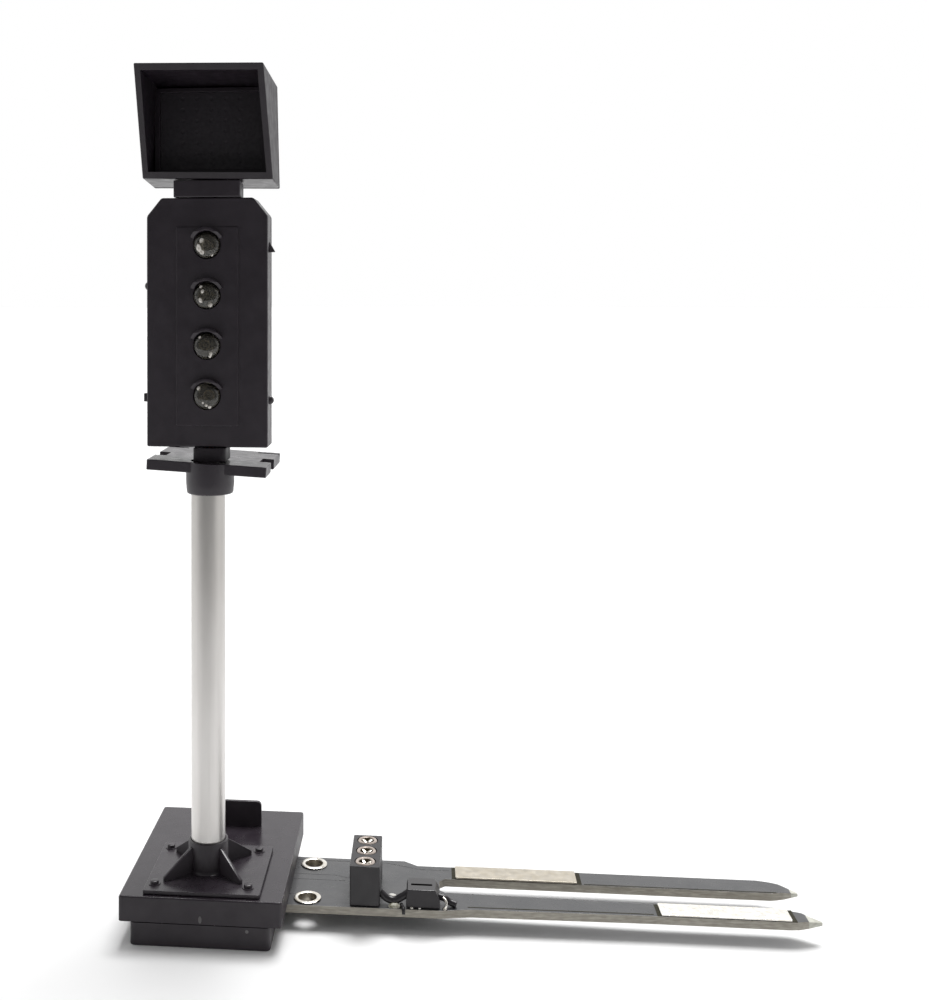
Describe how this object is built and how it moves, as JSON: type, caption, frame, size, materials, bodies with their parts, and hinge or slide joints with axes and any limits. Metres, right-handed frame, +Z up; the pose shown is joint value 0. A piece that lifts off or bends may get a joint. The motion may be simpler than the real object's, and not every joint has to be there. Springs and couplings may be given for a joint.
{
  "type": "model railway colour-light signal mast",
  "caption": "Colour-light signal head and route box on an aluminium tube mast, with a base and a two-finger contact board that slides under the track.",
  "frame": {"origin": "where the mast's axis meets the underside of the base", "axes": "+X along the contact fork, away from the base and across the track; +Y behind the lamps, away from the driver; +Z up the mast"},
  "size_m": [0.0596, 0.0198, 0.0747],
  "materials": {
    "black_plastic": "satin black moulded plastic",
    "board_black": "black solder mask over glass-fibre laminate",
    "tinned_metal": "bright tin plating",
    "aluminium": "satin drawn tube",
    "clear_lens": "clear epoxy, unlit",
    "smoked_screen": "smoked window",
    "chip_black": "moulded epoxy",
    "ceramic": "ceramic chip",
    "tantalum_yellow": "moulded epoxy",
    "enamelled_copper": "enamelled wire"
  },
  "bodies": {
    "base": {"base_cover": "black_plastic", "base_tray": "black_plastic", "mast_foot": "black_plastic", "contact_board": "board_black", "ring_pad_front": "tinned_metal", "ring_pad_rear": "tinned_metal", "rail_contact_near": "tinned_metal", "rail_contact_far": "tinned_metal", "socket_housing": "black_plastic", "socket_sleeve_1": "tinned_metal", "socket_sleeve_2": "tinned_metal", "socket_sleeve_3": "tinned_metal", "sensor_body": "black_plastic", "sensor_lead_left": "black_plastic", "sensor_lead_right": "black_plastic", "controller_chip": "chip_black", "bridge_rectifier": "chip_black", "reservoir_capacitor": "tantalum_yellow", "led_resistor_1": "ceramic", "led_resistor_2": "ceramic", "led_resistor_3": "ceramic", "led_resistor_4": "ceramic"},
    "mast": {"mast_tube": "aluminium", "wire_loom": "enamelled_copper", "platform": "black_plastic", "head_neck": "black_plastic", "head_front": "black_plastic", "head_rear_cover": "black_plastic", "head_board": "board_black", "led_red": "clear_lens", "led_lower_yellow": "clear_lens", "led_green": "clear_lens", "led_upper_yellow": "clear_lens", "theatre_bracket": "black_plastic", "theatre_hood": "black_plastic", "theatre_rear_cover": "black_plastic", "theatre_screen": "smoked_screen", "theatre_led_matrix": "chip_black", "theatre_board": "board_black"}
  },
  "joints": [
    {"name": "mast_turn", "type": "hinge", "parent": "base", "child": "mast", "pos_m": [0, 0, 0.00715], "axis": [0, 0, 1], "range_deg": [-45, 45]}
  ]
}
